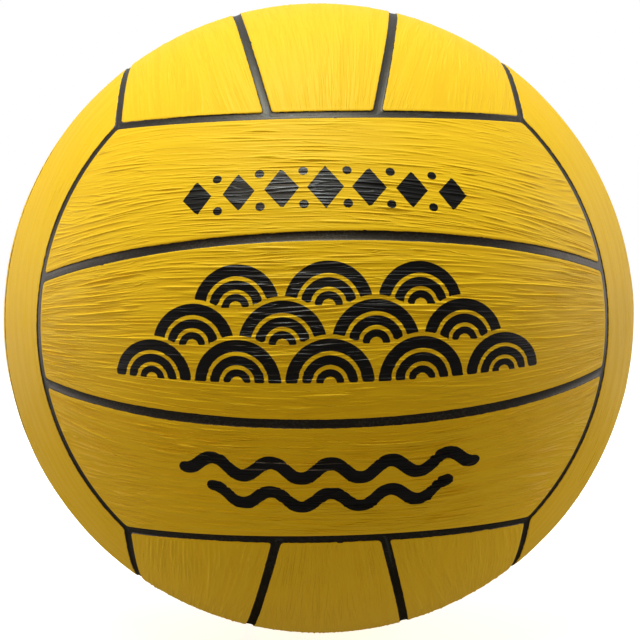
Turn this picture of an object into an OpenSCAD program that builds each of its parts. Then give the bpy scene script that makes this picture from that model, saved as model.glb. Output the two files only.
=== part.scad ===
// Water polo ball, size 5: eighteen moulded rubber panels on a black rubber carcass,
// a layer of wound nylon yarn, a butyl bladder and a self-sealing rubber valve.
// The origin is the ball's centre. The face at -Y has its panels running left to right,
// and the valve is in the middle of the opposite face, at +Y.

/* [Ball] */
// Outside diameter of the inflated ball
ball_d = 220; // [184:0.5:226]

/* [Cover] */
// Thickness of the moulded cover panels
panel_t = 1.1; // [0.9:0.05:1.6]
// Width of a seam at the surface of the ball
seam_w = 2.75; // [2.2:0.05:3.4]
// Depth of a seam below the surface of the ball
seam_depth = 0.45; // [0.3:0.05:0.6]
// Angle between the middle of a face and the seams at each side of its middle strip
strip_angle = 14.3; // [11:0.1:17]

/* [Wall under the cover] */
// Thickness of the rubber carcass between its seam ribs
carcass_t = 0.6; // [0.4:0.05:1]
// Thickness of the layer of wound nylon yarn
winding_t = 0.4; // [0.25:0.05:0.7]
// Thickness of the butyl bladder
bladder_t = 0.5; // [0.35:0.05:0.9]
// Thickness of the cement film between two layers of the wall
cement_t = 0.1; // [0.06:0.01:0.15]

/* [Valve housing] */
// Diameter of the stem that passes through the wall
stem_d = 9.6; // [8:0.1:12]
// Gap between the stem and the edge of the hole in each rubber layer
stem_gap = 0.1; // [0.06:0.01:0.2]
// Clear width that the yarn leaves round the stem
yarn_gap = 0.8; // [0.3:0.1:2]
// Diameter of the flange that is bonded inside the bladder
flange_d = 30; // [24:0.5:40]
// Thickness of the flange at its rim
flange_rim_t = 0.8; // [0.5:0.05:1.2]
// Thickness of the flange at the boss
flange_root_t = 1.8; // [1.4:0.05:2.6]
// Diameter of the boss that holds the core
boss_d = 12; // [10.5:0.1:16]
// Length of the boss below the bladder's inside
boss_l = 12; // [9:0.5:18]
// Diameter of the air hole in the end of the boss
air_hole_d = 2.6; // [1.6:0.1:4]
// Thickness of the lip that holds the core in at the end of the boss
lip_t = 1.4; // [0.8:0.1:2.4]

/* [Valve core] */
// Diameter of the self-sealing core
core_d = 6; // [5:0.1:7]
// Gap between the core and the housing's bore
core_gap = 0.05; // [0.02:0.01:0.1]
// Depth of the core's face below the surface of the ball
core_recess = 0.5; // [0.3:0.05:1]
// Diameter of the collar that locks the core in the housing
collar_d = 7.6; // [6.8:0.1:8.6]
// Length of the collar
collar_l = 1.6; // [1:0.1:2.4]
// Depth of the collar below the core's face
collar_depth = 5; // [3.5:0.1:7]
// Diameter of the mouth that guides the needle in
mouth_d = 3.4; // [2.8:0.1:4]
// Depth of the mouth's taper
mouth_l = 1; // [0.6:0.1:1.6]
// Diameter of the guide bore for the inflating needle
needle_bore_d = 2.2; // [1.9:0.05:2.5]
// Length of the guide bore below the mouth
needle_bore_l = 4; // [3:0.1:6]
// Width of the slit that the needle parts, nearly closed at rest
slit_w = 0.12; // [0.1:0.01:0.2]

/* [Hidden] */

$fn = 160;

// How far a cutting tool runs past what it cuts
overrun = 1;

// Radii of the layers, from the outside in
ball_r = ball_d / 2;
rib_r = ball_r - seam_depth;
panel_in_r = ball_r - panel_t;
carcass_r = panel_in_r - cement_t;
carcass_in_r = carcass_r - carcass_t;
winding_r = carcass_in_r - cement_t;
winding_in_r = winding_r - winding_t;
bladder_r = winding_in_r - cement_t;
bladder_in_r = bladder_r - bladder_t;
flange_r = bladder_in_r - cement_t;

// The six faces meet in seams that are circles round the X, Y and Z axes, where three seams meet in
// each corner. The wall of such a seam is a sphere that crosses the ball's surface at right angles.
wall_c = ball_r * sqrt(3);
wall_r = ball_r * sqrt(2);

// The panels' edges are bevelled from the surface to the seam's floor, and the bevel at a face's
// side is flat, which gives the floor its width
side_bevel_x = circle_at(ball_r, wall_c, wall_r + seam_w / 2);
seam_floor_w = 2 * (sqrt(rib_r * rib_r + wall_c * (wall_c - 2 * side_bevel_x)) - wall_r);

// Width of a seam rib on the carcass, which stands between two panels
rib_w = seam_floor_w - 2 * cement_t;

// Sizes of the valve that follow from the others
core_face_r = ball_r - core_recess;
boss_end_r = flange_r - boss_l;
core_end_r = boss_end_r + lip_t + core_gap;

yellow = [0.93, 0.73, 0.13];
black = [0.10, 0.10, 0.10];
nylon_white = [0.87, 0.86, 0.80];
butyl_grey = [0.20, 0.20, 0.22];
gum_tan = [0.66, 0.47, 0.28];

// Where a sphere of radius rho, centred at distance c on an axis, meets the sphere of radius r about
// the origin: the distance of that circle along the axis
function circle_at(r, c, rho) = (r * r + c * c - rho * rho) / (2 * c);

// Centre and radius of the sphere about an axis that bevels a panel's edge. It passes through the
// edge of the seam's floor, at distance z1 along the axis, and the edge at the surface, at z2.
function bevel_c(z1, z2) = (ball_r * ball_r - rib_r * rib_r) / (2 * (z2 - z1));
function bevel_r(z1, z2) = sqrt(rib_r * rib_r + bevel_c(z1, z2) * (bevel_c(z1, z2) - 2 * z1));

// Layer of the ball between two radii
module shell(r_in, r_out) {
    difference() {
        sphere(r_out);
        sphere(r_in);
    }
}

// Half-space on the +Z side of z
module above(z) {
    translate([-ball_d, -ball_d, z]) cube([2 * ball_d, 2 * ball_d, 2 * ball_d]);
}

// Turns +Z to the axis of the seam beside the middle strip, on the face's +X side
module on_strip_axis() {
    rotate([0, 90 + strip_angle, 0]) children();
}

// Middle strip of the face at +Z, which runs along Y, with w/2 of each seam taken off its edges
module middle_strip(r_in, r_out, w) {
    intersection() {
        rotate([0, 90, 90]) shell(r_in, r_out);
        translate([0, 0, wall_c]) sphere(wall_r - w / 2);
        mirror([0, 0, 1]) on_strip_axis() above(w / 2);
        mirror([0, 0, 1]) mirror([1, 0, 0]) on_strip_axis() above(w / 2);
    }
}

// Outer strip of the face at +Z, on its +X side, with w/2 of each seam taken off its edges
module outer_strip(r_in, r_out, w) {
    difference() {
        intersection() {
            rotate([0, 90, 90]) shell(r_in, r_out);
            translate([0, 0, wall_c]) sphere(wall_r - w / 2);
            on_strip_axis() above(w / 2);
        }
        translate([wall_c, 0, 0]) sphere(wall_r + w / 2);
    }
}

// Spheres that bevel the panels' edges: at both ends of a strip of the face at +Z, and along a
// seam beside a middle strip. A panel keeps what is inside of them.
module end_bevel() {
    z1 = circle_at(rib_r, wall_c, wall_r - seam_floor_w / 2);
    z2 = circle_at(ball_r, wall_c, wall_r - seam_w / 2);
    translate([0, 0, bevel_c(z1, z2)]) sphere(bevel_r(z1, z2));
}

module strip_bevel() {
    z1 = seam_floor_w / 2;
    z2 = seam_w / 2;
    on_strip_axis() translate([0, 0, bevel_c(z1, z2)]) sphere(bevel_r(z1, z2));
}

// Cover panels of the face at +Z. The outer one's bevel at the face's side is flat.
module cover_middle() {
    color(yellow) intersection() {
        middle_strip(panel_in_r, ball_r, seam_floor_w);
        end_bevel();
        mirror([0, 0, 1]) strip_bevel();
        mirror([0, 0, 1]) mirror([1, 0, 0]) strip_bevel();
    }
}

module cover_outer() {
    color(yellow) intersection() {
        outer_strip(panel_in_r, ball_r, seam_floor_w);
        end_bevel();
        strip_bevel();
        rotate([0, -90, 0]) above(-side_bevel_x);
    }
}

// The faces at +X and at +Y are the face at +Z turned by a third of a turn about the cube's diagonal,
// so the strips of neighbouring faces run at right angles to each other
module on_right_face() {
    rotate(120, [1, 1, 1]) children();
}

module on_rear_face() {
    rotate(-120, [1, 1, 1]) children();
}

// Cylinder along +Z that opens a layer of the wall for the valve's stem
module stem_hole(gap) {
    translate([0, 0, bladder_in_r - overrun])
        cylinder(d = stem_d + 2 * gap, h = ball_r - bladder_in_r + 2 * overrun);
}

module front_upper_panel() {
    mirror([0, 1, 0]) on_rear_face() cover_outer();
}

module front_middle_panel() {
    mirror([0, 1, 0]) on_rear_face() cover_middle();
}

module front_lower_panel() {
    mirror([0, 1, 0]) mirror([0, 0, 1]) on_rear_face() cover_outer();
}

module rear_upper_panel() {
    on_rear_face() cover_outer();
}

module rear_middle_panel() {
    color(yellow) on_rear_face() difference() {
        cover_middle();
        stem_hole(stem_gap);
    }
}

module rear_lower_panel() {
    mirror([0, 0, 1]) on_rear_face() cover_outer();
}

module top_left_panel() {
    mirror([1, 0, 0]) cover_outer();
}

module top_middle_panel() {
    cover_middle();
}

module top_right_panel() {
    cover_outer();
}

module bottom_left_panel() {
    mirror([0, 0, 1]) mirror([1, 0, 0]) cover_outer();
}

module bottom_middle_panel() {
    mirror([0, 0, 1]) cover_middle();
}

module bottom_right_panel() {
    mirror([0, 0, 1]) cover_outer();
}

module left_front_panel() {
    mirror([1, 0, 0]) mirror([0, 1, 0]) on_right_face() cover_outer();
}

module left_middle_panel() {
    mirror([1, 0, 0]) on_right_face() cover_middle();
}

module left_rear_panel() {
    mirror([1, 0, 0]) on_right_face() cover_outer();
}

module right_front_panel() {
    mirror([0, 1, 0]) on_right_face() cover_outer();
}

module right_middle_panel() {
    on_right_face() cover_middle();
}

module right_rear_panel() {
    on_right_face() cover_outer();
}

// Beds of one face's three panels in the carcass, which leave the seam ribs standing between them
module panel_beds() {
    middle_strip(carcass_r, ball_r, rib_w);
    for (side = [0, 1]) mirror([side, 0, 0]) outer_strip(carcass_r, ball_r, rib_w);
}

// Black rubber carcass, whose ribs show in the seams
module carcass() {
    color(black) difference() {
        shell(carcass_in_r, rib_r);
        for (side = [0, 1]) {
            mirror([0, 0, side]) panel_beds();
            mirror([side, 0, 0]) on_right_face() panel_beds();
            mirror([0, side, 0]) on_rear_face() panel_beds();
        }
        on_rear_face() stem_hole(stem_gap);
    }
}

// Yarn wound round the bladder, as one layer that is open round the stem
module nylon_winding() {
    color(nylon_white) difference() {
        shell(winding_in_r, winding_r);
        on_rear_face() stem_hole(yarn_gap);
    }
}

// Butyl bladder that holds the air
module bladder() {
    color(butyl_grey) difference() {
        shell(bladder_in_r, bladder_r);
        on_rear_face() stem_hole(stem_gap);
    }
}

// Flange that follows the inside of the bladder and thickens from its rim to the boss
module valve_flange() {
    difference() {
        intersection() {
            sphere(flange_r);
            cylinder(d = flange_d, h = ball_r);
        }
        translate([0, 0, -overrun]) rotate_extrude() polygon([
            [0, 0],
            [flange_d / 2 + overrun, 0],
            [flange_d / 2 + overrun, flange_rim_z() + overrun],
            [flange_d / 2, flange_rim_z() + overrun],
            [boss_d / 2, flange_r - flange_root_t + overrun],
            [0, flange_r - flange_root_t + overrun]
        ]);
    }
}

// Height of the underside of the flange at its rim
function flange_rim_z() = sqrt(flange_r * flange_r - flange_d * flange_d / 4) - flange_rim_t;

// Moulded rubber housing: stem, flange and boss in one piece, with the core's bore through it
module valve_housing() {
    bore_d = core_d + 2 * core_gap;
    color(black) on_rear_face() difference() {
        union() {
            valve_flange();
            intersection() {
                sphere(ball_r);
                translate([0, 0, boss_end_r + lip_t]) cylinder(d = stem_d, h = ball_r - boss_end_r);
            }
            translate([0, 0, boss_end_r]) cylinder(d = boss_d, h = boss_l - flange_root_t / 2);
        }
        translate([0, 0, boss_end_r + lip_t]) cylinder(d = bore_d, h = ball_r - boss_end_r);
        translate([0, 0, core_face_r - collar_depth - collar_l - core_gap])
            cylinder(d = collar_d + 2 * core_gap, h = collar_l + 2 * core_gap);
        translate([0, 0, boss_end_r - overrun]) cylinder(d = air_hole_d, h = lip_t + 2 * overrun);
    }
}

// Soft rubber core with the needle's guide bore, and the slit that closes when the needle is out
module valve_core() {
    bore_floor = core_face_r - mouth_l - needle_bore_l;
    color(gum_tan) on_rear_face() difference() {
        union() {
            translate([0, 0, core_end_r]) cylinder(d = core_d, h = core_face_r - core_end_r);
            translate([0, 0, core_face_r - collar_depth - collar_l]) cylinder(d = collar_d, h = collar_l);
        }
        translate([0, 0, core_face_r - mouth_l])
            cylinder(d1 = needle_bore_d, d2 = mouth_d, h = mouth_l);
        translate([0, 0, bore_floor]) cylinder(d = needle_bore_d, h = needle_bore_l);
        translate([-slit_w / 2, -needle_bore_d / 2, core_end_r - overrun])
            cube([slit_w, needle_bore_d, bore_floor - core_end_r + 2 * overrun]);
    }
}

front_upper_panel();
front_middle_panel();
front_lower_panel();
rear_upper_panel();
rear_middle_panel();
rear_lower_panel();
top_left_panel();
top_middle_panel();
top_right_panel();
bottom_left_panel();
bottom_middle_panel();
bottom_right_panel();
left_front_panel();
left_middle_panel();
left_rear_panel();
right_front_panel();
right_middle_panel();
right_rear_panel();
carcass();
nylon_winding();
bladder();
valve_housing();
valve_core();
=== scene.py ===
# Water polo ball: grained rubber panels, black seams, ink on the front, valve at the back
import math

import bpy
import numpy as np
from mathutils import Matrix, Vector


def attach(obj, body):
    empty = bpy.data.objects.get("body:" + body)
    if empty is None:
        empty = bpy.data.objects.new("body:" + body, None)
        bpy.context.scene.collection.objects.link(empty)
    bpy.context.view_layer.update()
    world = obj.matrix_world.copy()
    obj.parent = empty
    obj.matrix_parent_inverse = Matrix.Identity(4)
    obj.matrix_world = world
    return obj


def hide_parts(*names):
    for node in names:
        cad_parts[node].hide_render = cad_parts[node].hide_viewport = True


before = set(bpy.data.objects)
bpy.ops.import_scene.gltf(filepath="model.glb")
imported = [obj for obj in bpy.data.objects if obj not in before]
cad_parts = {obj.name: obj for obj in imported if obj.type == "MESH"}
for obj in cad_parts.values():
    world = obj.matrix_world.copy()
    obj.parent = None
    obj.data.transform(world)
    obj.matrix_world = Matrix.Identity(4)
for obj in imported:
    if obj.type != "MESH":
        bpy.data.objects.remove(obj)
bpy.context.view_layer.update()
print("frame loaded:", len(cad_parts), "nodes")

# lengths in metres, angles in degrees; the seams are where part.scad has them
ball = {
    "radius": 0.110,
    "panelThick": 0.0011,
    "stripAngle": 14.3,
    "faceAngle": math.degrees(math.acos(1 / math.sqrt(3))),
    "cornerReach": 0.0013,    # how far from a panel's corner its rounding starts
}
seeds = {"first": 11, "step": 7, "edge": 1000}    # the first panel's, the step to the next, more for an edge

# the camera, where the photograph was taken from
cameraSet = {
    "distance": 5.007,      # in ball radii
    "yaw": 1.540,
    "pitch": 1.868,
    "roll": -1.116,
    "frame": 640,           # width and height of the picture, in pixels
    "ballPixels": 314.72,   # radius of the ball's outline in it
    "centre": (318.73, 318.11),
    "sensor": 36,           # in millimetres
}


def turnMatrix(yaw, pitch, roll):
    # roll about Y after pitch about X after yaw about Z
    return (
        Matrix.Rotation(math.radians(roll), 3, "Y")
        @ Matrix.Rotation(math.radians(pitch), 3, "X")
        @ Matrix.Rotation(math.radians(yaw), 3, "Z")
    )


def addCamera(s):
    back = turnMatrix(s["yaw"], s["pitch"], s["roll"]).transposed()
    data = bpy.data.cameras.new("photoCamera")
    cam = bpy.data.objects.new("photoCamera", data)
    bpy.context.collection.objects.link(cam)
    place = back @ Vector((0, -s["distance"] * ball["radius"], 0))
    right, up, behind = Vector((1, 0, 0)), Vector((0, 0, 1)), Vector((0, -1, 0))
    axes = Matrix((back @ right, back @ up, back @ behind)).transposed()
    cam.matrix_world = Matrix.Translation(place) @ axes.to_4x4()
    focal = s["ballPixels"] * math.sqrt(s["distance"] ** 2 - 1)
    data.sensor_width = s["sensor"]
    data.lens = s["sensor"] * focal / s["frame"]
    data.shift_x = 0.5 - s["centre"][0] / s["frame"]
    data.shift_y = s["centre"][1] / s["frame"] - 0.5
    data.clip_start = 0.01
    bpy.context.scene.camera = cam


addCamera(cameraSet)
print("camera set")


# A point of the face at +Z is (cos b sin a, sin b, cos b cos a): a runs across the strips, b along them
def facePoint(a, b):
    return np.stack([np.cos(b) * np.sin(a), np.sin(b), np.cos(b) * np.cos(a)], axis=-1)


def loopAt(kind, off, nu, nv, crowd):
    # the panel's outline where its edge is off metres from the middle of every seam, as four curves
    # of unit vectors: low end, +side, high end and -side, each in the direction of growing a or b
    o = off / ball["radius"]
    phi = math.radians(ball["stripAngle"])
    face = math.radians(ball["faceAngle"])
    zEnd = math.cos(face - o)
    sign = -1 if kind == "middle" else 1
    a, b = phi, face
    for _ in range(30):                      # closes in on the corner of the strip seam and the end seam
        a = phi + sign * math.asin(math.sin(o) / math.cos(b))
        b = math.acos(zEnd / math.cos(a))
    v = np.linspace(-1, 1, nv)
    share, power = crowd
    v = v * (1 + share * (1 - v ** power))    # closer together near the ends
    u = np.linspace(0, 1, nu)
    bStrip = v * b
    aStrip = phi + sign * np.arcsin(np.sin(o) / np.cos(bStrip))
    if kind == "middle":
        minus, plus = facePoint(-aStrip, bStrip), facePoint(aStrip, bStrip)
        aEnd = -a + 2 * a * u
    else:
        xSide = math.cos(face + o)
        aCorner = math.atan2(xSide, zEnd)
        bSide = v * math.acos(math.hypot(xSide, zEnd))
        minus, plus = facePoint(aStrip, bStrip), facePoint(np.arcsin(xSide / np.cos(bSide)), bSide)
        aEnd = a + (aCorner - a) * u
    bEnd = np.arccos(zEnd / np.cos(aEnd))
    return roundCorners([facePoint(aEnd, -bEnd), plus, facePoint(aEnd, bEnd), minus])


def roundCorners(curves):
    # a parabola takes each corner off: points within reach of it move in along its bisector. The sides'
    # directions are taken to points a few steps from the corner
    low, plus, high, minus = curves
    reach = ball["cornerReach"] / ball["radius"]
    corners = [
        (low[0], low[4], minus[2]), (low[-1], low[-5], plus[2]),
        (high[-1], high[-5], plus[-3]), (high[0], high[4], minus[-3]),
    ]
    moves = []
    for corner, one, two in corners:
        e1 = (one - corner) / np.linalg.norm(one - corner)
        e2 = (two - corner) / np.linalg.norm(two - corner)
        n = (e1 + e2) / np.linalg.norm(e1 + e2)
        moves.append((corner, n * (e1 @ n) * reach / 2))
    out = []
    for c in curves:
        moved = c.copy()
        for corner, shift in moves:
            near = np.clip(1 - np.linalg.norm(c - corner, axis=1) / reach, 0, 1) ** 2
            moved += near[:, None] * shift
        out.append(moved / np.linalg.norm(moved, axis=1, keepdims=True))
    return out


def patch(curves):
    # Coons patch: the sum of both ruled surfaces between opposite curves, less the bilinear one
    low, plus, high, minus = curves
    u = np.linspace(0, 1, len(low))[:, None, None]
    v = np.linspace(0, 1, len(plus))[None, :, None]
    ruled = (1 - v) * low[:, None] + v * high[:, None] + (1 - u) * minus[None] + u * plus[None]
    flat = (1 - u) * ((1 - v) * low[0] + v * high[0]) + u * ((1 - v) * low[-1] + v * high[-1])
    p = ruled - flat
    return p / np.linalg.norm(p, axis=2, keepdims=True)


def around(curves):
    # the four curves as one closed ring, counter-clockwise seen from outside
    low, plus, high, minus = curves
    return np.concatenate([low[:-1], plus[:-1], high[:0:-1], minus[:0:-1]])


def waves(s, t, count, pitch, spread, tilt, rng):
    # sum of cosines whose crests run along t, with pitches about pitch and headings within tilt degrees
    p = pitch * np.exp(rng.normal(0, spread, count))
    heading = np.radians(rng.normal(0, tilt, count))
    phase = rng.uniform(0, 2 * math.pi, count)
    total = np.zeros_like(s)
    for i in range(count):
        k = 2 * math.pi / p[i]
        total += np.cos(k * math.cos(heading[i]) * s + k * math.sin(heading[i]) * t + phase[i])
    return total / math.sqrt(count / 2)


grain = {
    "height": 0.00030,      # of a full ridge above the ground between ridges
    "ground": 0.15,         # share of it that the ground lies below the panel's surface
    "tilt": 1.1,            # degrees that a ridge strays from its neighbours' heading
    "drift": 1.82,          # degrees that the headings drift over the panel
    "swell": 0.10,          # of the slow waves that the ridges ride on, as a share of height
    # sets of slow waves: how many, middle pitch, spread of the pitches, and of the headings in degrees
    "driftWaves": (8, 0.055, 0.3, 35),
    "patchWaves": (9, 0.034, 0.3, 50),
    "swellWaves": (14, 0.0062, 0.35, 4),
    "patchy": (0.80, 0.24, 0.30, 1.1),       # strength in patches: middle, swing, least and most
    "flatten": (0.75, 0.62),    # how far the ridges leave the seam's heading, up to which angle from it
    "skew": 0.035,          # spread of the slopes that whole panels have; the front ones have their own
    "frontSkew": {"front_upper_panel": 0.05, "front_middle_panel": 0.01, "front_lower_panel": -0.01},
    # strength of the relief, weaker on the faces round the front one and stronger low on it
    "strength": {
        "top": 0.55, "left": 0.65, "right": 0.65, "bottom": 0.85,
        "front_middle_panel": 1.2, "front_lower_panel": 1.9,
    },
    "mostOnLines": 1.2,     # strength at most for the fine lines in the material
    # rows of ridges, coarse and fine: pitch, half-width, middle length, share of height, spread of heights
    "rows": [(0.00175, 0.00028, 0.0230, 0.80, 0.38), (0.00100, 0.00022, 0.0100, 0.42, 0.24)],
    "open": {"front_middle_panel": 1.12},    # rows further apart there
    # the side where ridges are narrower, on the panels that don't leave it to chance
    "steep": {"front_upper_panel": 1, "front_middle_panel": -1, "front_lower_panel": -1},
    "lattice": (0.00011, 0.0006),    # spacing of the grain's own grid, across and along the ridges
    "margin": (0.004, 0.006),        # how far that grid goes past the panel
}
# how the ridges of a row differ; spreads are of normal numbers, pairs are least and most
ridge = {
    "most": 400,                     # in a row
    "lengths": 0.55,
    "lengthLimits": (0.3, 3.2),
    "step": (0.80, 1.25),            # from one to the next, as a share of its length
    "sideways": 0.24,                # off the row's line, as a share of the pitch
    "widths": 0.2,
    "heightLimits": (0.08, 1.3),
    "bends": 1.05,
    "lean": (0.45, 0.95),            # width of the steep side as a share of the other's
    "foot": 2.6,                     # half-widths from its line at which a ridge has died out
}


def ridgeRows(sLow, sHigh, tLow, tHigh, row, rng):
    # one line of numbers a ridge: centre across and along, half-length, half-width, height, heading,
    # bend and lean
    pitch, width, length, height, spread = row
    r = ridge
    out = []
    for s in np.arange(sLow, sHigh, pitch):
        steps = length * np.exp(rng.normal(0, r["lengths"], r["most"])).clip(*r["lengthLimits"])
        start = tLow - length * rng.uniform(0, 2)
        ends = start + np.cumsum(steps * rng.uniform(*r["step"], r["most"]))
        keep = ends < tHigh + length
        half = steps[keep] * 0.5
        n = len(half)
        out.append(np.stack([
            s + rng.normal(0, r["sideways"], n) * pitch, ends[keep] - half, half,
            width * np.exp(rng.normal(0, r["widths"], n)),
            (height + rng.normal(0, spread, n)).clip(*r["heightLimits"]),
            rng.normal(0, 1, n), rng.normal(0, r["bends"], n), rng.uniform(*r["lean"], n),
        ], axis=1))
    return np.concatenate(out)


def stripCoords(p, skew):
    # across: w * turn + (1 - w) * rise, where turn is the angle about the strip's axis, rise the angle from
    # the face's middle plane, and w falls from 1 at the strip seam; along: the angle along the strip
    turn, rise = np.arctan2(p[..., 0], p[..., 2]), np.arcsin(np.clip(p[..., 0], -1, 1))
    share, last = grain["flatten"]
    w = 1 - share * smooth(np.abs(turn), math.radians(ball["stripAngle"]), last)
    along = ball["radius"] * np.arcsin(np.clip(p[..., 1], -1, 1))
    return ball["radius"] * (w * turn + (1 - w) * rise) + skew * along, along


def grainField(p, seed, skew, node):
    # ridges on a grid of s across and t along the strip; each is height * (1 - u^2) * exp(-(q / w)^2), where
    # u runs from -1 to 1 along it, q is the distance from its line, and w is narrower on its lower side
    rng = np.random.default_rng(seed)
    g = grain
    (ds, dt), (sMore, tMore) = g["lattice"], g["margin"]
    s, t = stripCoords(p, skew)
    sAxis = np.arange(s.min() - sMore, s.max() + sMore, ds)
    tAxis = np.arange(t.min() - tMore, t.max() + tMore, dt)
    field = np.zeros((len(sAxis), len(tAxis)))
    driftSeed, patchSeed = rng.integers(1 << 30, size=2)
    side = g["steep"].get(node, rng.choice([-1, 1]))
    for row in g["rows"]:
        row = (row[0] * g["open"].get(node, 1),) + row[1:]
        ridges = ridgeRows(sAxis[0], sAxis[-1], tAxis[0], tAxis[-1], row, rng)
        slowly = np.random.default_rng(driftSeed)
        drift = g["drift"] * waves(ridges[:, 1], ridges[:, 0], *g["driftWaves"], slowly)
        for (s0, t0, half, width, height, stray, bend, lean), turn in zip(ridges, drift):
            slope = math.tan(math.radians(turn + stray * g["tilt"]))
            reach = abs(slope) * half + abs(bend) * half ** 2 + ridge["foot"] * width
            i0, i1 = np.searchsorted(sAxis, (s0 - reach, s0 + reach))
            j0, j1 = np.searchsorted(tAxis, (t0 - half, t0 + half))
            if i1 <= i0 or j1 <= j0:
                continue
            along = tAxis[j0:j1] - t0
            q = side * (sAxis[i0:i1, None] - (s0 + slope * along + bend * along ** 2))
            w = np.where(q > 0, width, width * lean)
            one = height * (1 - (along / half) ** 2) * np.exp(-(q / w) ** 2)
            np.maximum(field[i0:i1, j0:j1], one, out=field[i0:i1, j0:j1])
    # the field at the panel's own points, between the four nearest of the grid
    fi, fj = (s - sAxis[0]) / ds, (t - tAxis[0]) / dt
    i, j = fi.astype(int), fj.astype(int)
    fi, fj = fi - i, fj - j
    h = ((field[i, j] * (1 - fi) + field[i + 1, j] * fi) * (1 - fj)
         + (field[i, j + 1] * (1 - fi) + field[i + 1, j + 1] * fi) * fj)
    middle, swing, least, most = g["patchy"]
    patches = waves(t, s, *g["patchWaves"], np.random.default_rng(patchSeed))
    h = h * np.clip(middle + swing * patches, least, most)
    return h + g["swell"] * waves(s, t, *g["swellWaves"], rng)


def smooth(x, low, high):
    # 3 k^2 - 2 k^3, where k runs from 0 at low to 1 at high
    k = np.clip((x - low) / (high - low), 0, 1)
    return k * k * (3 - 2 * k)


def edgeDistance(p, kind):
    # distance from the nearest seam's middle, along the surface
    r, phi, face = ball["radius"], math.radians(ball["stripAngle"]), math.radians(ball["faceAngle"])
    x, y, z = p[..., 0], p[..., 1], p[..., 2]
    end = r * (face - np.arccos(np.clip(z, -1, 1)))
    strip = x * math.cos(phi) - z * math.sin(phi)
    if kind == "middle":
        other = -x * math.cos(phi) - z * math.sin(phi)
        return np.minimum(end, r * np.minimum(np.arcsin(-strip), np.arcsin(-other)))
    side = r * (np.arccos(np.clip(x, -1, 1)) - face)
    return np.minimum(np.minimum(end, side), r * np.arcsin(strip))


# the panel's lip, a low bead on its edge that rolls over into the black seam: distance from the
# seam's middle, depth. Past paintLine the edge is black, and its foot lies on the carcass's rib
edgeProfile = [
    (0.00168, 0.00000), (0.00158, 0.00001), (0.00150, 0.00003), (0.00144, 0.00007), (0.00138, 0.00013),
    (0.00131, 0.00021), (0.00121, 0.00029), (0.00104, 0.00035), (0.00080, 0.00039), (0.00048, 0.00042),
    (0.00007, 0.00044), (0.00003, 0.000441), (0.00002, ball["panelThick"]),
]
lip = {
    "bead": 0.00005, "beadAt": 0.00205, "beadWidth": 0.00045,
    "grainStarts": 0.0030,
    "paintLine": 0.00141,
    "wobble": 0.00002,      # how far the seam's flank strays up and down
    "wobbleFrom": 6,        # slowest of its waves, in turns round the panel
    "wobbleMost": 2.5,      # its limit, in wobbles
    "wobbleDepths": (0, 0.0002, 0.0004, 0.0005),    # it grows between the first two, fades between the others
}


def beadAt(off):
    # a bell curve over the distance from the seam's middle
    return lip["bead"] * np.exp(-((off - lip["beadAt"]) / lip["beadWidth"]) ** 2)


# the smooth round pad and its raised line, round the valve
pad = {"node": "rear_middle_panel", "radius": 0.0088, "blend": 0.0030, "line": 0.00012, "lineWidth": 0.00042}
# how the points along a panel crowd at its ends, share and power: on a mesh of many points, on one of few
crowding = {"many": (0.08, 8), "few": (0.35, 2), "manyFrom": 180}
farFromSeam = 0.01    # the distance that the underside carries, so that it stays out of the black


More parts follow.
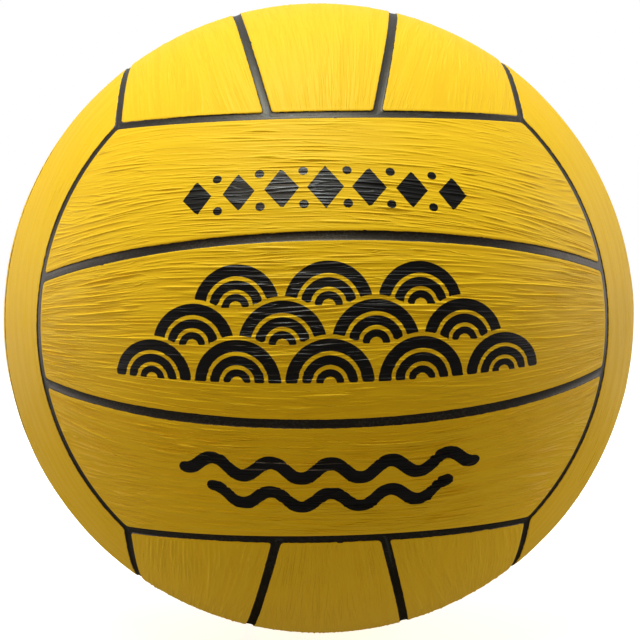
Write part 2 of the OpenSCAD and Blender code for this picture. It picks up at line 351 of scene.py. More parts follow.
def panelMesh(node, kind, seed, across, along, step):
    # one panel of the face at +Z: points, faces as rings of indices, and the values that its points carry
    nu, nv = across + 1, along + 1
    r = ball["radius"]
    rng = np.random.default_rng(seed + seeds["edge"])
    crowd = crowding["many" if along > crowding["manyFrom"] else "few"]
    rings = [loopAt(kind, off, nu, nv, crowd) for off, _ in edgeProfile]
    top = patch(rings[0])
    gap = edgeDistance(top, kind)
    skew = grain["frontSkew"].get(node, rng.normal(0, grain["skew"]))
    strength = grain["strength"].get(node, grain["strength"].get(node.split("_")[0], 1.0))
    h = grainField(top, seed, skew, node)
    fade = smooth(gap, edgeProfile[0][0], lip["grainStarts"])
    lift = beadAt(gap)
    if node == pad["node"]:
        off = r * np.arccos(np.clip(top[..., 2], -1, 1))
        fade = fade * smooth(off, pad["radius"], pad["radius"] + pad["blend"])
        lift = lift + pad["line"] * np.exp(-((off - pad["radius"]) / pad["lineWidth"]) ** 2)
    lift = lift + strength * grain["height"] * (h - grain["ground"]) * fade
    points = [(top * (r + lift)[..., None]).reshape(-1, 3)]
    heights = [(h * fade).ravel()]
    gaps = [gap.ravel()]
    ringSize = 2 * across + 2 * along
    # a random walk round the ring, less its slowest waves
    wobble = np.cumsum(rng.normal(0, 1, ringSize))
    waveSet = np.fft.rfft(wobble - wobble.mean()) * (np.arange(ringSize // 2 + 1) > lip["wobbleFrom"])
    wobble = np.fft.irfft(waveSet, ringSize)
    wobble = lip["wobble"] * np.clip(wobble / wobble.std(), -lip["wobbleMost"], lip["wobbleMost"])
    grows, grown, fades, faded = lip["wobbleDepths"]
    for (off, depth), curves in list(zip(edgeProfile, rings))[1:]:
        loop = around(curves)
        uneven = wobble * smooth(depth, grows, grown) * (1 - smooth(depth, fades, faded))
        points.append(loop * (r - depth + beadAt(off) + uneven)[:, None])
        heights.append(np.zeros(ringSize))
        gaps.append(np.full(ringSize, off))
    # index of each point of the top's outline, in the ring's order
    grid = np.arange(nu * nv).reshape(nu, nv)
    outline = np.concatenate([grid[:-1, 0], grid[-1, :-1], grid[:0:-1, -1], grid[0, :0:-1]])
    a, b, c, d = grid[:-1, :-1], grid[1:, :-1], grid[1:, 1:], grid[:-1, 1:]
    quads = [np.stack([a, b, c, d], axis=-1).reshape(-1, 4)]
    start = nu * nv
    before = outline
    for k in range(1, len(edgeProfile)):
        ring = start + np.arange(ringSize)
        quads.append(np.stack([before, ring, np.roll(ring, -1), np.roll(before, -1)], axis=-1))
        start += ringSize
        before = ring
    # the underside is a coarse patch on every step-th point of the last ring
    cu, cv = across // step[0], along // step[1]
    curves = rings[-1]
    coarse = patch([curves[0][::step[0]], curves[1][::step[1]], curves[2][::step[0]], curves[3][::step[1]]])
    inside = coarse[1:-1, 1:-1].reshape(-1, 3) * (r - edgeProfile[-1][1])
    points.append(inside)
    heights.append(np.zeros(len(inside)))
    gaps.append(np.full(len(inside), farFromSeam))
    low, plus = before[:across + 1], before[across:across + along + 1]
    high = before[across + along:2 * across + along + 1][::-1]
    minus = np.append(before[2 * across + along:], before[0])[::-1]
    index = np.zeros((cu + 1, cv + 1), dtype=int)
    index[1:-1, 1:-1] = start + np.arange(len(inside)).reshape(cu - 1, cv - 1)
    index[:, 0], index[:, -1] = low[::step[0]], high[::step[0]]
    index[0], index[-1] = minus[::step[1]], plus[::step[1]]
    faces = []
    for i in range(cu):                       # cells of the coarse patch, turned to face inwards
        for j in range(cv):
            left = minus[j * step[1]:(j + 1) * step[1] + 1] if i == 0 else index[i, j:j + 2]
            right = plus[j * step[1]:(j + 1) * step[1] + 1] if i == cu - 1 else index[i + 1, j:j + 2]
            near = low[i * step[0]:(i + 1) * step[0] + 1] if j == 0 else index[i:i + 2, j]
            far = high[i * step[0]:(i + 1) * step[0] + 1] if j == cv - 1 else index[i:i + 2, j + 1]
            faces.append([*left[:-1], *far[:-1], *right[:0:-1], *near[:0:-1]])
    points = np.concatenate(points)
    s, t = stripCoords(points / np.linalg.norm(points, axis=1, keepdims=True), skew)
    values = {
        "grain": np.concatenate(heights), "gap": np.concatenate(gaps), "across": s, "along": t,
        "strength": np.full(len(points), min(strength, grain["mostOnLines"])),
    }
    return points, np.concatenate(quads), faces, values


def fillMesh(name, points, quads, faces, values):
    # a mesh of points, quads and larger faces, all smooth; each of the values is an attribute of the points
    mesh = bpy.data.meshes.new(name)
    loops = np.concatenate([quads.ravel()] + [np.array(f) for f in faces]).astype(np.int32)
    sizes = np.concatenate([np.full(len(quads), 4), [len(f) for f in faces]]).astype(np.int32)
    mesh.vertices.add(len(points))
    mesh.vertices.foreach_set("co", points.astype(np.float32).ravel())
    mesh.loops.add(len(loops))
    mesh.loops.foreach_set("vertex_index", loops)
    mesh.polygons.add(len(sizes))
    mesh.polygons.foreach_set("loop_start", np.concatenate([[0], np.cumsum(sizes)[:-1]]).astype(np.int32))
    mesh.update(calc_edges=True)
    mesh.polygons.foreach_set("use_smooth", np.ones(len(sizes), dtype=bool))
    for key, value in values.items():
        mesh.attributes.new(key, "FLOAT", "POINT").data.foreach_set("value", value.astype(np.float32))
    return mesh


# ink on the front face: signed distances in metres, negative in the ink
def disc(x, z, cx, cz, r):
    return np.hypot(x - cx, z - cz) - r


def lozenge(x, z, cx, cz, w, h):
    # a rhomb of half-width w and half-height h
    return (np.abs(x - cx) / w + np.abs(z - cz) / h - 1) * w * h / math.hypot(w, h)


def waveBar(x, z, x0, x1, cz, swing, period, half):
    # a bar with round ends that follows a cosine
    lift = cz + swing * np.cos(2 * math.pi * x / period)
    slope = 2 * math.pi / period * swing * np.sin(2 * math.pi * x / period)
    body = np.abs(z - lift) / np.sqrt(1 + slope ** 2) - half
    endLift = cz + swing * np.cos(2 * math.pi * np.clip(x, x0, x1) / period)
    caps = np.hypot(x - np.clip(x, x0, x1), z - endLift) - half
    return np.where((x < x0) | (x > x1), caps, body)


ink = {
    "none": 0.02,           # the distance that panels without ink carry
    "far": 1.0,             # what a drawing starts from
    # overlapping scales in rows of five, four and three, each of three rings; radius and half-width of a ring
    "scales": 5, "scaleRows": 3, "scalePitch": 0.0270, "scaleBase": -0.0152, "rowRise": 0.0112,
    "scaleRings": [(0.0111, 0.0018), (0.0067, 0.0014), (0.0030, 0.0011)], "scaleGap": 0.0012,
    # lozenges that grow smaller by a share from the middle, with dots above and below between them
    "lozenges": 7, "lozengePitch": 0.0128, "lozengeHeight": 0.0425, "lozengeHalf": (0.0054, 0.0068),
    "smaller": 0.05, "dot": 0.0014, "dotHeight": 0.78,
    # two wave bars, above and below waveHeight; how many periods each reaches to either side
    "waveHeight": -0.0475, "waveGap": 0.0050, "waveSwing": 0.0025, "wavePeriod": 0.0176, "waveHalf": 0.0021,
    "waveReach": {1: 2.5, -1: 2.0},
}


def scaleRow(x, z, count, base, d):
    # a row of half rings on the line z = base; it cuts its own outline out of the rows behind it
    k = ink
    for i in range(count):
        cx = (i - (count - 1) / 2) * k["scalePitch"]
        far = np.hypot(x - cx, z - base)
        outer = sum(k["scaleRings"][0])
        d = np.maximum(d, outer + k["scaleGap"] - far)
        for r, half in k["scaleRings"]:
            d = np.minimum(d, np.maximum(np.abs(far - r) - half, base - z))
    return d


def inkMiddle(x, z):
    k = ink
    d = np.full_like(x, k["far"])
    for i in reversed(range(k["scaleRows"])):    # from the back row to the front
        d = scaleRow(x, z, k["scales"] - i, k["scaleBase"] + i * k["rowRise"], d)
    return np.maximum(d, k["scaleBase"] - z)


def inkUpper(x, z):
    k = ink
    d = np.full_like(x, k["far"])
    wide, high = k["lozengeHalf"]
    for i in range(k["lozenges"]):
        fromMiddle = i - (k["lozenges"] - 1) / 2
        cx = fromMiddle * k["lozengePitch"]
        size = 1 - k["smaller"] * abs(fromMiddle)
        d = np.minimum(d, lozenge(x, z, cx, k["lozengeHeight"], wide * size, high * size))
    for i in range(k["lozenges"] - 1):
        cx = (i - (k["lozenges"] - 2) / 2) * k["lozengePitch"]
        for side in (-1, 1):
            d = np.minimum(d, disc(x, z, cx, k["lozengeHeight"] + side * k["dotHeight"] * high, k["dot"]))
    return d


def inkLower(x, z):
    k = ink
    d = np.full_like(x, k["far"])
    for side, reach in k["waveReach"].items():
        end = reach * k["wavePeriod"]
        height = k["waveHeight"] + side * k["waveGap"]
        d = np.minimum(d, waveBar(x, z, -end, end, height, k["waveSwing"], k["wavePeriod"], k["waveHalf"]))
    return d


faceMaps = {                                   # where x, y, z of the face at +Z go
    "top": ((0, 1, 2), 2, 1), "bottom": ((0, 1, 2), 2, -1),
    "right": ((2, 0, 1), 0, 1), "left": ((2, 0, 1), 0, -1),
    "rear": ((1, 2, 0), 1, 1), "front": ((1, 2, 0), 1, -1),
}
panelNames = {
    "top": ("left", "middle", "right"), "bottom": ("left", "middle", "right"),
    "right": ("front", "middle", "rear"), "left": ("front", "middle", "rear"),
    "rear": ("lower", "middle", "upper"), "front": ("lower", "middle", "upper"),
}
# cells across and along a panel, and how many of them a cell of its underside spans
fineness = {
    "middle": (240, 160, (20, 20)), "outer": (200, 140, (20, 20)),
    "inked": (350, 220, (25, 20)), "valve": (260, 280, (20, 20)),
}
inkOf = {"front_middle_panel": inkMiddle, "front_upper_panel": inkUpper, "front_lower_panel": inkLower}
panels = {}
for faceName, (order, axis, sign) in faceMaps.items():
    for place, part in enumerate(panelNames[faceName]):
        node = faceName + "_" + part + "_panel"
        kind = "middle" if part == "middle" else "outer"
        cells = "inked" if node in inkOf else "valve" if node == pad["node"] else kind
        across, along, step = fineness[cells]
        seed = seeds["first"] + seeds["step"] * len(panels)
        points, quads, faces, values = panelMesh(node, kind, seed, across, along, step)
        flips = 0
        if place == 0:
            points[:, 0] *= -1
            flips += 1
        points = points[:, order]
        if sign < 0:
            points[:, axis] *= -1
            flips += 1
        if flips % 2:
            quads = quads[:, ::-1]
            faces = [f[::-1] for f in faces]
        values["ink"] = np.full(len(points), ink["none"])
        if node in inkOf:                      # x and z are lengths along the ball's surface
            unit = points / np.linalg.norm(points, axis=1, keepdims=True)
            x = ball["radius"] * np.arcsin(unit[:, 0])
            z = ball["radius"] * np.arctan2(unit[:, 2], -unit[:, 1])
            values["ink"] = inkOf[node](x, z)
        mesh = fillMesh(node + "_grained", points, quads, faces, values)
        piece = bpy.data.objects.new(node + "_grained", mesh)
        bpy.context.collection.objects.link(piece)
        panels[node] = piece
print("panels:", len(panels), "triangles:", sum(len(p.data.polygons) * 2 for p in panels.values()))


# the valve's opening in the rear middle panel, cut with a cylinder that reaches through it along Y
stemHole = {"radius": 0.00505, "sides": 96, "from": 0.100, "to": 0.115}


def cutStemHole(piece, s):
    n = s["sides"]
    turn = np.linspace(0, 2 * math.pi, n, endpoint=False)
    rim = np.stack([s["radius"] * np.cos(turn), np.zeros(n), s["radius"] * np.sin(turn)], axis=1)
    points = np.concatenate([rim + [0, s["from"], 0], rim + [0, s["to"], 0]])
    ring = np.arange(n)
    quads = np.stack([ring, ring + n, np.roll(ring, -1) + n, np.roll(ring, -1)], axis=1)
    tool = bpy.data.objects.new("stemTool", fillMesh("stemTool", points, quads, [ring, ring[::-1] + n], {}))
    bpy.context.collection.objects.link(tool)
    cut = piece.modifiers.new("stemHole", "BOOLEAN")
    cut.operation, cut.solver, cut.object = "DIFFERENCE", "EXACT", tool
    bpy.context.view_layer.update()
    made = bpy.data.meshes.new_from_object(piece.evaluated_get(bpy.context.evaluated_depsgraph_get()))
    piece.modifiers.clear()
    piece.data = made
    bpy.data.objects.remove(tool)


cutStemHole(panels[pad["node"]], stemHole)
print("stem hole cut")


# a socket takes a number, a colour or the output of another node
def feed(tree, socket, value):
    if isinstance(value, (int, float, tuple)):
        socket.default_value = value
    elif value is not None:
        tree.links.new(value, socket)


def newGroup(name, inputs, outputs):
    group = bpy.data.node_groups.new(name, "ShaderNodeTree")
    for label, kind, value in inputs:
        socket = group.interface.new_socket(label, in_out="INPUT", socket_type=kind)
        if value is not None:
            socket.default_value = value
    for label, kind in outputs:
        group.interface.new_socket(label, in_out="OUTPUT", socket_type=kind)
    return group, group.nodes.new("NodeGroupInput"), group.nodes.new("NodeGroupOutput")


def mathNode(tree, operation, one, two=None):
    node = tree.nodes.new("ShaderNodeMath")
    node.operation = operation
    feed(tree, node.inputs[0], one)
    feed(tree, node.inputs[1], two)
    return node.outputs[0]


def times(tree, one, two):
    return mathNode(tree, "MULTIPLY", one, two)


def noiseNode(tree, vector, scale, detail, rough):
    node = tree.nodes.new("ShaderNodeTexNoise")
    for label, value in (("Vector", vector), ("Scale", scale), ("Detail", detail), ("Roughness", rough)):
        feed(tree, node.inputs[label], value)
    return node.outputs["Fac"]


def rangeNode(tree, value, low, high, outLow=0.0, outHigh=1.0):
    # outLow at low, outHigh at high and beyond, and a smooth step between them
    node = tree.nodes.new("ShaderNodeMapRange")
    node.interpolation_type = "SMOOTHSTEP"
    labels = ("Value", "From Min", "From Max", "To Min", "To Max")
    for label, v in zip(labels, (value, low, high, outLow, outHigh)):
        feed(tree, node.inputs[label], v)
    return node.outputs["Result"]


def mixColour(tree, factor, one, two, mode="MIX"):
    node = tree.nodes.new("ShaderNodeMix")
    node.data_type, node.blend_type = "RGBA", mode
    for place, value in ((0, factor), (6, one), (7, two)):    # the colour sockets among all of its kinds
        feed(tree, node.inputs[place], value)
    return node.outputs[2]


# shader groups, each used by several materials. A noise has its scale where that is fixed, its detail and
# its roughness; a range is the two values between which a mask changes
groups = {
    "slow": (3, 0.55), "fine": (2, 0.6), "fineTimes": 22, "slowShare": 0.65, "fineShare": 0.35,
    "speckRange": (0.62, 0.78),
    "lowRange": (0.05, 0.4), "settled": (90, 3, 0.6), "settledRange": (0.35, 0.7),
    "pores": (3, 0.6), "swell": (2, 0.5), "swellTimes": 0.16, "poreShare": 0.6, "swellShare": 0.9,
}


def makeMottle():
    # slow and fine variation of tone, for rubber of any colour
    group, gin, gout = newGroup(
        "rubberMottle",
        [
            ("Vector", "NodeSocketVector", None),
            ("Size", "NodeSocketFloat", 60.0),
            ("Amount", "NodeSocketFloat", 0.1),
        ],
        [("Tone", "NodeSocketFloat"), ("Speck", "NodeSocketFloat")],
    )
    g = groups
    slow = noiseNode(group, gin.outputs["Vector"], gin.outputs["Size"], *g["slow"])
    fineSize = times(group, gin.outputs["Size"], g["fineTimes"])
    fine = noiseNode(group, gin.outputs["Vector"], fineSize, *g["fine"])
    both = mathNode(group, "ADD", times(group, slow, g["slowShare"]), times(group, fine, g["fineShare"]))
    centred = mathNode(group, "SUBTRACT", both, 0.5)
    tone = mathNode(group, "ADD", times(group, centred, gin.outputs["Amount"]), 1)
    group.links.new(tone, gout.inputs["Tone"])
    group.links.new(rangeNode(group, fine, *g["speckRange"]), gout.inputs["Speck"])
    return group


def makeDust():
    # pale dust that settles in the low places: mask of a height and a noise
    group, gin, gout = newGroup(
        "dustInCreases",
        [
            ("Vector", "NodeSocketVector", None),
            ("Height", "NodeSocketFloat", 0.5),
            ("Amount", "NodeSocketFloat", 0.2),
        ],
        [("Mask", "NodeSocketFloat")],
    )
    low = rangeNode(group, gin.outputs["Height"], *groups["lowRange"], 1.0, 0.0)
    patchy = noiseNode(group, gin.outputs["Vector"], *groups["settled"])
    mask = times(group, low, rangeNode(group, patchy, *groups["settledRange"]))
    group.links.new(times(group, mask, gin.outputs["Amount"]), gout.inputs["Mask"])
    return group


def makePores():
    # fine leathery relief of moulded rubber, as a height in metres
    group, gin, gout = newGroup(
        "mouldedPores",
        [
            ("Vector", "NodeSocketVector", None),
            ("Size", "NodeSocketFloat", 2400.0),
            ("Depth", "NodeSocketFloat", 0.00001),
        ],
        [("Height", "NodeSocketFloat")],
    )
    g = groups
    pores = noiseNode(group, gin.outputs["Vector"], gin.outputs["Size"], *g["pores"])
    swellSize = times(group, gin.outputs["Size"], g["swellTimes"])
    swell = noiseNode(group, gin.outputs["Vector"], swellSize, *g["swell"])
    both = mathNode(group, "ADD", times(group, pores, g["poreShare"]), times(group, swell, g["swellShare"]))
    group.links.new(times(group, both, gin.outputs["Depth"]), gout.inputs["Height"])
    return group


mottleGroup, dustGroup, poresGroup = makeMottle(), makeDust(), makePores()


def groupNode(tree, group, **values):
    node = tree.nodes.new("ShaderNodeGroup")
    node.node_tree = group
    for label, value in values.items():
        feed(tree, node.inputs[label], value)
    return node


def startMaterial(name):
    material = bpy.data.materials.new(name)
    material.use_nodes = True
    tree = material.node_tree
    tree.nodes.clear()
    out = tree.nodes.new("ShaderNodeOutputMaterial")
    shader = tree.nodes.new("ShaderNodeBsdfPrincipled")
    tree.links.new(shader.outputs[0], out.inputs["Surface"])
    coords = tree.nodes.new("ShaderNodeTexCoord")
    return material, tree, shader, coords.outputs["Object"]


def attributeNode(tree, name):
    node = tree.nodes.new("ShaderNodeAttribute")
    node.attribute_name = name
    return node.outputs["Fac"]


def bumpNode(tree, height):
    # the height is in metres
    node = tree.nodes.new("ShaderNodeBump")
    node.inputs["Strength"].default_value = 1.0
    node.inputs["Distance"].default_value = 1.0
    tree.links.new(height, node.inputs["Height"])
    return node.outputs["Normal"]


cover = {
    "yellow": (0.860, 0.502, 0.005, 1),
    # the crease colour is painted shade, for the low ground between the ridges and for the fine streaks
    "crease": (0.740, 0.350, 0.004, 1),
    # the crest colour is painted highlight, for the ridge tops
    "crestHighlight": (0.890, 0.575, 0.026, 1),
    "ink": (0.004, 0.004, 0.0045, 1),
    "black": (0.0070, 0.0057, 0.0048, 1),
    "chalk": (0.046, 0.0370, 0.0300, 1),       # worn, dusty tone of the black rubber
    "specular": 0.56,
    "sheen": (0.64, 0.53, 0.23, 1),          # the sheens are shares of specular
    "inkSheen": (0.70, 0.62, 0.60, 1),
    "blackSheen": (0.95, 0.76, 0.61, 1),
    "plainSheen": (0.70, 0.60, 0.42, 1),     # where only one can be kept for all three
    "roughness": 0.60,
    "inkRoughness": 0.38,
    "blackRoughness": 0.44,
    "creaseRoughness": 0.06,                 # more in the creases
    "mottle": (45.0, 0.12),                  # size in waves a metre, and amount
    "pores": (2600.0, 0.000010),             # size in waves a metre, and depth
    # heights and shares for the painted shade of the creases and the painted highlight of the crests
    "creaseRange": (-0.02, 0.14),            # heights of the grain over which the crease's colour fades out
    "crestRange": (0.45, 0.95),              # and the crest's sets in
    "creaseShare": 0.18,                     # how far the colour goes that way at most
    "crestShare": 0.4,
    # noises have their scale, detail and roughness; ranges are where a mask changes
    "streak": (0.00042, 0.0060),             # size of the fine streaks, across and along the ridges
    "streakNoise": (0.5, 2, 0.5),
    "streakRange": (0.40, 0.25),
    # share of painted shade that the fine streaks take from the crease colour
    "streakShare": 0.10,
    "streakDepth": 0.000022,
    "lineNoise": (0.21, 2, 0.35),            # sharp fine ridges, where a slow noise crosses its middle
    "lineWidth": 0.032,                      # how far from its middle, as a share of the noise
    "lineDepth": 0.000105,
    "linePatches": (38, 1, 0.5),             # and where they are strong
    "linePatchRange": (0.36, 0.60),
    "uneven": 0.00014,                       # how far the ink's edge strays over the streaks
    "inkSoft": 0.00005,                      # half-widths over which ink and black set in
    "blackSoft": 0.00002,
    "ragged": 0.00040,                       # how far the black strays over the lip
    "raggedNoises": ((420, 3, 0.65), (34, 1, 0.5)),
    "nick": 0.00026,                         # and how far it comes in a nick
    "nickNoise": (160, 2, 0.6),
    "nickRange": (0.68, 0.76),
    "chalkNoise": (1500, 2, 0.7),
    "chalkRange": (0.42, 0.72),
    "chalkPatches": (60, 1, 0.5),
    "chalkPatchRange": (0.35, 0.65),
    "chalkLeast": 0.3,
}


def coverMaterial():
    material, tree, shader, where = startMaterial("coverRubber")
    height, gap, inkAt = attributeNode(tree, "grain"), attributeNode(tree, "gap"), attributeNode(tree, "ink")
    size, amount = cover["mottle"]
    mottle = groupNode(tree, mottleGroup, Vector=where, Size=size, Amount=amount)
    # fine streaks beside the modelled ridges, on the strip's own coordinates
    strip = tree.nodes.new("ShaderNodeCombineXYZ")
    for socket, name, size in zip(strip.inputs, ("across", "along"), cover["streak"]):
        tree.links.new(mathNode(tree, "DIVIDE", attributeNode(tree, name), size), socket)
    streaks = noiseNode(tree, strip.outputs[0], *cover["streakNoise"])
    swing = mathNode(tree, "SUBTRACT", noiseNode(tree, strip.outputs[0], *cover["lineNoise"]), 0.5)
    lines = rangeNode(tree, mathNode(tree, "ABSOLUTE", swing), 0.0, cover["lineWidth"], 1.0, 0.0)
    strong = rangeNode(tree, noiseNode(tree, where, *cover["linePatches"]), *cover["linePatchRange"])
    lines = times(tree, lines, strong)
    lines = times(tree, lines, rangeNode(tree, gap, lip["paintLine"], lip["grainStarts"]))
    lines = times(tree, lines, attributeNode(tree, "strength"))
    # tone by height: painted shade darkens the creases and painted highlight lightens the crests
    crease = rangeNode(tree, height, *cover["creaseRange"], 1.0, 0.0)
    creaseShade = times(tree, crease, cover["creaseShare"])
    crestHighlight = rangeNode(tree, height, *cover["crestRange"], 0.0, cover["crestShare"])
    # painted shade in the fine streaks
    streakShade = rangeNode(tree, streaks, *cover["streakRange"], 0.0, cover["streakShare"])
    colour = mixColour(tree, creaseShade, cover["yellow"], cover["crease"])
    colour = mixColour(tree, crestHighlight, colour, cover["crestHighlight"])
    colour = mixColour(tree, streakShade, colour, cover["crease"])
    colour = mixColour(tree, 1.0, colour, mottle.outputs["Tone"], "MULTIPLY")
    # ink, its edge a little uneven where it runs over ridges
    uneven = times(tree, mathNode(tree, "SUBTRACT", streaks, 0.5), cover["uneven"])
    inkEdge = mathNode(tree, "ADD", inkAt, uneven)
    inkMask = rangeNode(tree, inkEdge, -cover["inkSoft"], cover["inkSoft"], 1.0, 0.0)
    colour = mixColour(tree, inkMask, colour, cover["ink"])
    # the black of the seam, with a ragged edge and a few nicks
    fineWander, slowWander = (noiseNode(tree, where, *noise) for noise in cover["raggedNoises"])
    wander = mathNode(tree, "SUBTRACT", mathNode(tree, "ADD", fineWander, slowWander), 1.0)
    wander = times(tree, wander, cover["ragged"])
    nicks = noiseNode(tree, where, *cover["nickNoise"])
    nicks = rangeNode(tree, nicks, *cover["nickRange"], 0.0, cover["nick"])
    edge = mathNode(tree, "SUBTRACT", mathNode(tree, "SUBTRACT", gap, wander), nicks)
    line, soft = lip["paintLine"], cover["blackSoft"]
    blackMask = rangeNode(tree, edge, line - soft, line + soft, 1.0, 0.0)
    chalky = rangeNode(tree, noiseNode(tree, where, *cover["chalkNoise"]), *cover["chalkRange"])
    patchy = noiseNode(tree, where, *cover["chalkPatches"])
    patchy = rangeNode(tree, patchy, *cover["chalkPatchRange"], cover["chalkLeast"], 1.0)
    chalky = times(tree, chalky, patchy)
    black = mixColour(tree, chalky, cover["black"], cover["chalk"])
    tree.links.new(mixColour(tree, blackMask, colour, black), shader.inputs["Base Color"])
    rough = times(tree, mottle.outputs["Tone"], cover["roughness"])
    rough = mathNode(tree, "ADD", rough, times(tree, crease, cover["creaseRoughness"]))
    inkDrop = times(tree, inkMask, cover["roughness"] - cover["inkRoughness"])
    blackDrop = times(tree, blackMask, cover["roughness"] - cover["blackRoughness"])
    rough = mathNode(tree, "SUBTRACT", rough, mathNode(tree, "ADD", inkDrop, blackDrop))
    tree.links.new(rough, shader.inputs["Roughness"])
    size, depth = cover["pores"]
    pores = groupNode(tree, poresGroup, Vector=where, Size=size, Depth=depth)
    relief = times(tree, streaks, cover["streakDepth"])
    relief = mathNode(tree, "ADD", pores.outputs["Height"], relief)
    relief = mathNode(tree, "ADD", relief, times(tree, lines, cover["lineDepth"]))
    tree.links.new(bumpNode(tree, relief), shader.inputs["Normal"])
    shader.inputs["Specular IOR Level"].default_value = cover["specular"]
    shader.inputs["Specular Tint"].default_value = cover["plainSheen"]
    # seen square on, the gloss of rubber, ink and black each has a colour of its own
    sheen = mixColour(tree, inkMask, cover["sheen"], cover["inkSheen"])
    tree.links.new(mixColour(tree, blackMask, sheen, cover["blackSheen"]), shader.inputs["Specular Tint"])
    return material


rubber = {
    "mottle": 0.5, "dust": 0.10, "poreSize": 1800.0,
    # each with its colour, roughness, depth of pores, size of its mottle in waves a metre, and its dust
    "carcassRubber": ((0.030, 0.030, 0.031, 1), 0.52, 0.00002, 120.0, (0.09, 0.09, 0.09, 1)),
    "bladderButyl": ((0.035, 0.035, 0.038, 1), 0.60, 0.00001, 60.0, (0.09, 0.09, 0.09, 1)),
    "valveRubber": ((0.022, 0.022, 0.023, 1), 0.45, 0.00001, 200.0, (0.09, 0.09, 0.09, 1)),
    "coreGum": ((0.42, 0.22, 0.09, 1), 0.55, 0.00001, 300.0, (0.5, 0.35, 0.2, 1)),
}


def rubberMaterial(name):
    colour, roughness, depth, size, speck = rubber[name]
    material, tree, shader, where = startMaterial(name)
    mottle = groupNode(tree, mottleGroup, Vector=where, Size=size, Amount=rubber["mottle"])
    tone = mixColour(tree, 1.0, colour, mottle.outputs["Tone"], "MULTIPLY")
    dust = groupNode(tree, dustGroup, Vector=where, Height=mottle.outputs["Speck"], Amount=rubber["dust"])
    tone = mixColour(tree, dust.outputs["Mask"], tone, speck)
    tree.links.new(tone, shader.inputs["Base Color"])
    tree.links.new(times(tree, mottle.outputs["Tone"], roughness), shader.inputs["Roughness"])
    pores = groupNode(tree, poresGroup, Vector=where, Size=rubber["poreSize"], Depth=depth)
    tree.links.new(bumpNode(tree, pores.outputs["Height"]), shader.inputs["Normal"])
    return material


yarn = {
    "turns": ((0.3, 0.9, 0.0), (1.4, 0.2, 0.8), (2.3, 1.9, 0.4)),    # of each layer, in radians
    "wave": {"Scale": 320.0, "Distortion": 1.6, "Detail": 2.0, "Detail Scale": 0.6},
    "shade": (0.42, 0.40, 0.34, 1), "thread": (0.80, 0.78, 0.70, 1),
    "roughness": (0.7, 0.45),      # between the threads, on them
    "depth": 0.00015,
}


def yarnMaterial():
    # three layers of thread that cross, each a fine wave on its own turned coordinates
    material, tree, shader, where = startMaterial("woundNylon")
    total = None
    for turn in yarn["turns"]:
        mapping = tree.nodes.new("ShaderNodeMapping")
        mapping.inputs["Rotation"].default_value = turn
        tree.links.new(where, mapping.inputs["Vector"])
        wave = tree.nodes.new("ShaderNodeTexWave")
        for label, value in yarn["wave"].items():
            feed(tree, wave.inputs[label], value)
        tree.links.new(mapping.outputs[0], wave.inputs["Vector"])
        threads = wave.outputs["Fac"]
        total = threads if total is None else mathNode(tree, "MAXIMUM", total, threads)
    tree.links.new(mixColour(tree, total, yarn["shade"], yarn["thread"]), shader.inputs["Base Color"])
    tree.links.new(rangeNode(tree, total, 0.0, 1.0, *yarn["roughness"]), shader.inputs["Roughness"])
    tree.links.new(bumpNode(tree, times(tree, total, yarn["depth"])), shader.inputs["Normal"])
    return material


coverLook = coverMaterial()
looks = {
    "carcass": rubberMaterial("carcassRubber"),
    "nylon_winding": yarnMaterial(),
    "bladder": rubberMaterial("bladderButyl"),
    "valve_housing": rubberMaterial("valveRubber"),
    "valve_core": rubberMaterial("coreGum"),
}
for node, piece in panels.items():
    piece.data.materials.clear()
    piece.data.materials.append(coverLook)
    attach(piece, "root")
    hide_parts(node)
for node, look in looks.items():
    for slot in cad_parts[node].material_slots:
        slot.material = look
print("materials made")


# floor, world and lamps
studio = {
    "floorHeight": -0.1102,
    "floorHalf": 6.0,       # half of its side
    "floorGlow": 0.80,      # glow that the camera sees on the floor, on top of the lamps' light
    "floorBounce": 0.03,    # how much of the light the floor gives back to the ball
    "floorMirrored": 0.10,  # the same near the ball's foot, as its gloss sees it
    "floorWhite": (0.9, 0.9, 0.9, 1),
    "mirroredBehind": (-0.15, 0.35),    # along Y, where the gloss begins to see the white floor
    "mirroredAway": (0.25, 0.9),        # and so far from the ball's foot
    "underGlow": 0.45,      # light of the floor's own, as of a lit table
    "frontLight": 0.015,    # strength of the world towards the camera, and behind the ball
    "backLight": 0.50,
    # Y of the directions over which the world's strength, its backdrop in the gloss and its paleness rise
    "strengthRise": (-0.5, 0.5),
    "backdropRise": (0.80, 0.97),
    "paleRise": (-0.3, 0.5),
    "fill": (1.0, 0.86, 0.62, 1),    # the dim light from the front is warm, and the floor's a little
    "floorFill": (1.0, 0.97, 0.72, 1),
    "lamps": {              # place, size, power and colour
        "keyLamp": ((-0.13, -0.33, 1.44), 0.60, 24.1, (0.915, 1.065, 1.03)),
        "frontLamp": ((-0.33, -1.07, 1.17), 0.50, 4.8, (1.0, 0.86, 0.62)),
        "leftLamp": ((-1.35, 0.18, -0.02), 0.9, 9.2, (1, 1, 1)),
        "rightLamp": ((1.35, 0.22, 0.18), 0.9, 7.6, (1, 1, 1)),
    },
}
white = (1, 1, 1, 1)


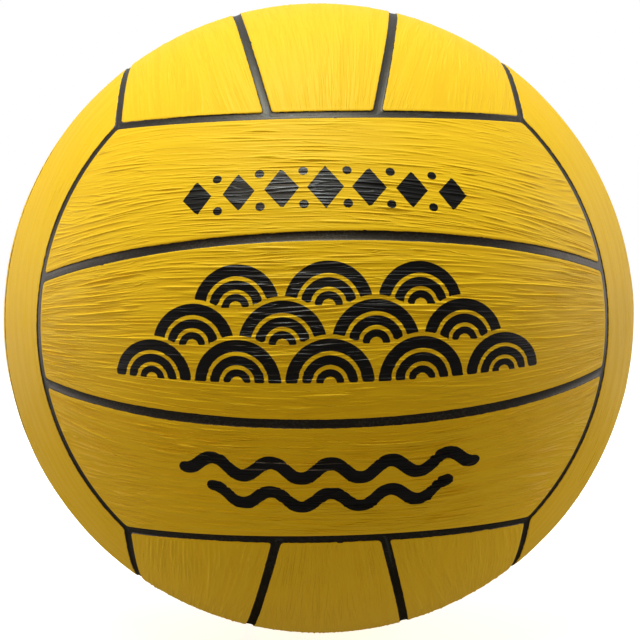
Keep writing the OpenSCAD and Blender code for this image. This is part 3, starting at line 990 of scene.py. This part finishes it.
def addFloor(s):
    half = s["floorHalf"]
    corners = half * np.array([[-1, -1], [1, -1], [1, 1], [-1, 1]])
    points = np.concatenate([corners, np.full((4, 1), s["floorHeight"])], axis=1)
    mesh = fillMesh("paleFloor", points, np.array([[0, 1, 2, 3]]), [], {})
    floor = bpy.data.objects.new("paleFloor", mesh)
    bpy.context.collection.objects.link(floor)
    material = bpy.data.materials.new("paleFloor")
    material.use_nodes = True
    tree = material.node_tree
    tree.nodes.clear()
    out = tree.nodes.new("ShaderNodeOutputMaterial")
    path = tree.nodes.new("ShaderNodeLightPath")
    # gloss and glass see the white floor too, behind the ball and away from its dim foot
    where = tree.nodes.new("ShaderNodeTexCoord")
    length = tree.nodes.new("ShaderNodeVectorMath")
    length.operation = "LENGTH"
    tree.links.new(where.outputs["Object"], length.inputs[0])
    axes = tree.nodes.new("ShaderNodeSeparateXYZ")
    tree.links.new(where.outputs["Object"], axes.inputs[0])
    behind = rangeNode(tree, axes.outputs["Y"], *s["mirroredBehind"])
    away = rangeNode(tree, length.outputs["Value"], *s["mirroredAway"])
    away = times(tree, away, behind)
    mirrored = mathNode(tree, "MAXIMUM", path.outputs["Is Glossy Ray"], path.outputs["Is Transmission Ray"])
    seen = times(tree, mirrored, away)
    seen = mathNode(tree, "MAXIMUM", path.outputs["Is Camera Ray"], seen)
    diffuse = tree.nodes.new("ShaderNodeBsdfDiffuse")
    warm = tuple(s["floorBounce"] * c for c in s["fill"][:3]) + (1,)
    bounce = mixColour(tree, mirrored, warm, (s["floorMirrored"],) * 3 + (1,))
    tree.links.new(mixColour(tree, seen, bounce, s["floorWhite"]), diffuse.inputs["Color"])
    glow = tree.nodes.new("ShaderNodeEmission")
    tint = mixColour(tree, path.outputs["Is Diffuse Ray"], white, s["floorFill"])
    tree.links.new(tint, glow.inputs["Color"])
    under = times(tree, path.outputs["Is Diffuse Ray"], s["underGlow"])
    above = times(tree, seen, s["floorGlow"])
    tree.links.new(mathNode(tree, "ADD", above, under), glow.inputs["Strength"])
    add = tree.nodes.new("ShaderNodeAddShader")
    tree.links.new(diffuse.outputs[0], add.inputs[0])
    tree.links.new(glow.outputs[0], add.inputs[1])
    # from below the floor is clear
    side = tree.nodes.new("ShaderNodeNewGeometry")
    clear = tree.nodes.new("ShaderNodeBsdfTransparent")
    mix = tree.nodes.new("ShaderNodeMixShader")
    tree.links.new(side.outputs["Backfacing"], mix.inputs[0])
    tree.links.new(add.outputs[0], mix.inputs[1])
    tree.links.new(clear.outputs[0], mix.inputs[2])
    tree.links.new(mix.outputs[0], out.inputs["Surface"])
    mesh.materials.append(material)


def addWorld(s):
    # white to the camera; to the ball dim in front and light behind, as between a dark room and a white
    # backdrop
    world = bpy.data.worlds.new("studioWorld")
    world.use_nodes = True
    tree = world.node_tree
    tree.nodes.clear()
    out = tree.nodes.new("ShaderNodeOutputWorld")
    back = tree.nodes.new("ShaderNodeBackground")
    path = tree.nodes.new("ShaderNodeLightPath")
    where = tree.nodes.new("ShaderNodeTexCoord")
    axes = tree.nodes.new("ShaderNodeSeparateXYZ")
    tree.links.new(where.outputs["Generated"], axes.inputs[0])
    light = rangeNode(tree, axes.outputs["Y"], *s["strengthRise"], s["frontLight"], s["backLight"])
    mirrored = mathNode(tree, "MAXIMUM", path.outputs["Is Glossy Ray"], path.outputs["Is Transmission Ray"])
    backdrop = rangeNode(tree, axes.outputs["Y"], *s["backdropRise"], 0.0, 1 - s["backLight"])
    light = mathNode(tree, "ADD", light, times(tree, mirrored, backdrop))
    strength = mathNode(tree, "MAXIMUM", light, path.outputs["Is Camera Ray"])
    pale = rangeNode(tree, axes.outputs["Y"], *s["paleRise"])
    pale = mathNode(tree, "MAXIMUM", pale, path.outputs["Is Camera Ray"])
    tree.links.new(mixColour(tree, pale, s["fill"], white), back.inputs["Color"])
    tree.links.new(strength, back.inputs["Strength"])
    tree.links.new(back.outputs[0], out.inputs["Surface"])
    bpy.context.scene.world = world


def addLamp(name, place, size, power, colour):
    # a disc that faces the ball's centre
    data = bpy.data.lights.new(name, "AREA")
    data.shape, data.size, data.energy, data.color = "DISK", size, power, colour
    lamp = bpy.data.objects.new(name, data)
    bpy.context.collection.objects.link(lamp)
    lamp.location = place
    lamp.rotation_euler = Vector(place).to_track_quat("Z", "Y").to_euler()


addFloor(studio)
addWorld(studio)
for name, lamp in studio["lamps"].items():
    addLamp(name, *lamp)
bpy.context.scene.view_settings.view_transform = "Standard"
print("studio set")
